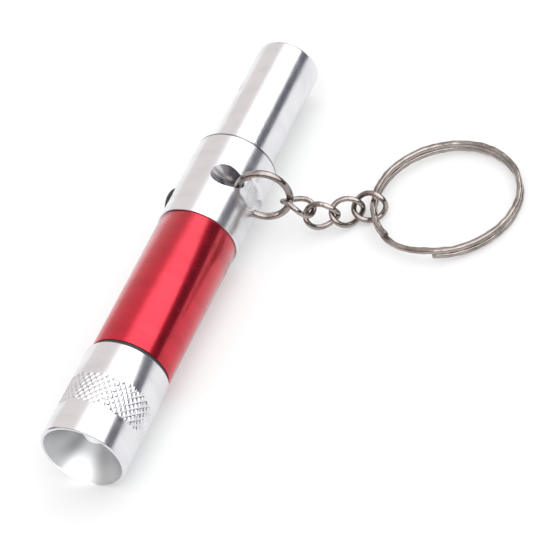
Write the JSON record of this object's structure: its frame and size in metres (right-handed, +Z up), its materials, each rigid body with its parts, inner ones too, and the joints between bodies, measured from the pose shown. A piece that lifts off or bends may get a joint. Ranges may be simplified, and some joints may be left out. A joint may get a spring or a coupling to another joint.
{
  "type": "keychain flashlight",
  "caption": "Lit aluminium keychain torch with a knurled head, red barrel, push button and whistle tail, on a short curb chain with a split ring.",
  "frame": {"origin": "centre of the flat that the head rests on, below the axis and 3 mm behind the front rim", "axes": "+Y along the torch from the lamp to the whistle, +X towards the key ring, +Z up"},
  "size_m": [0.0553, 0.0844, 0.0139],
  "materials": {
    "aluminium": "bright turned aluminium with fine turning marks",
    "red_anodised": "bright red anodising over turned aluminium",
    "reflector_mirror": "mirror-bright reflector",
    "led_epoxy": "clear epoxy, lit white",
    "tinned_steel": "bright tinned or nickel-plated steel",
    "black_plastic": "black moulded plastic",
    "circuit_board": "green circuit board",
    "brass": "plain brass",
    "black_rubber": "black moulded rubber",
    "sleeve_film": "thin plastic film",
    "nickel": "bright nickel-plated wire"
  },
  "bodies": {
    "torch": {"barrel": "red_anodised", "button_cell_1": "tinned_steel", "button_cell_2": "tinned_steel", "button_cell_3": "tinned_steel", "cell_sleeve": "sleeve_film", "contact_spring": "brass", "negative_contact": "brass", "switch_carrier": "black_plastic", "switch_board": "circuit_board", "switch_body": "tinned_steel", "collar": "aluminium", "whistle_tube": "aluminium", "whistle_plug": "black_plastic"},
    "head_seal": {"head_o_ring": "black_rubber"},
    "head": {"head_shell": "aluminium", "reflector": "reflector_mirror", "led_lens": "led_epoxy", "led_holder": "black_plastic", "led_lead_positive": "tinned_steel", "led_lead_negative": "tinned_steel", "lamp_board": "circuit_board", "positive_contact": "brass"},
    "button": {"button_cap": "black_rubber", "switch_stem": "black_plastic"},
    "jump_ring": {"jump_ring": "nickel"},
    "link_1": {"chain_link_1": "nickel"},
    "link_2": {"chain_link_2": "nickel"},
    "link_3": {"chain_link_3": "nickel"},
    "link_4": {"chain_link_4": "nickel"},
    "split_ring": {"split_ring": "nickel"}
  },
  "joints": [
    {"name": "head_advance", "type": "slide", "parent": "torch", "child": "head_seal", "axis": [0, -1, 0], "range_m": [0, 0.0045]},
    {"name": "head_unscrew", "type": "hinge", "parent": "head_seal", "child": "head", "pos_m": [0, 0.01405, 0.00697], "axis": [0, -1, 0], "range_deg": [0, 2160]},
    {"name": "button_press", "type": "slide", "parent": "torch", "child": "button", "axis": [0.9781, 0, -0.2079], "range_m": [0, 0.00035], "stiffness_N_per_m": 600, "springref_m": -0.0008},
    {"name": "jump_ring_swing", "type": "hinge", "parent": "torch", "child": "jump_ring", "pos_m": [0.00425, 0.05002, 0.00858], "axis": [-0.2924, 0, 0.9563], "range_deg": [-10, 10]},
    {"name": "link_1_swing", "type": "hinge", "parent": "jump_ring", "child": "link_1", "pos_m": [0.01249, 0.05161, 0.00692], "axis": [0.3227, 0.1954, 0.9261], "range_deg": [-30, 12]},
    {"name": "link_2_swing", "type": "hinge", "parent": "link_1", "child": "link_2", "pos_m": [0.0155, 0.05108, 0.00454], "axis": [-0.2405, -0.8337, 0.4971], "range_deg": [-30, 12]},
    {"name": "link_3_swing", "type": "hinge", "parent": "link_2", "child": "link_3", "pos_m": [0.01928, 0.05317, 0.00311], "axis": [0.272, -0.2232, 0.9361], "range_deg": [-30, 12]},
    {"name": "link_4_swing", "type": "hinge", "parent": "link_3", "child": "link_4", "pos_m": [0.02206, 0.05567, 0.00132], "axis": [0.4206, 0.4311, 0.7983], "range_deg": [-30, 12]},
    {"name": "split_ring_swing", "type": "hinge", "parent": "link_4", "child": "split_ring", "pos_m": [0.02582, 0.05695, 0.00183], "axis": [0.1061, 0.303, 0.9471], "range_deg": [-18, 12]}
  ],
  "couplings": [
    {"joint": "head_unscrew", "follows": "head_advance", "rad_per_m": 8377.6}
  ]
}
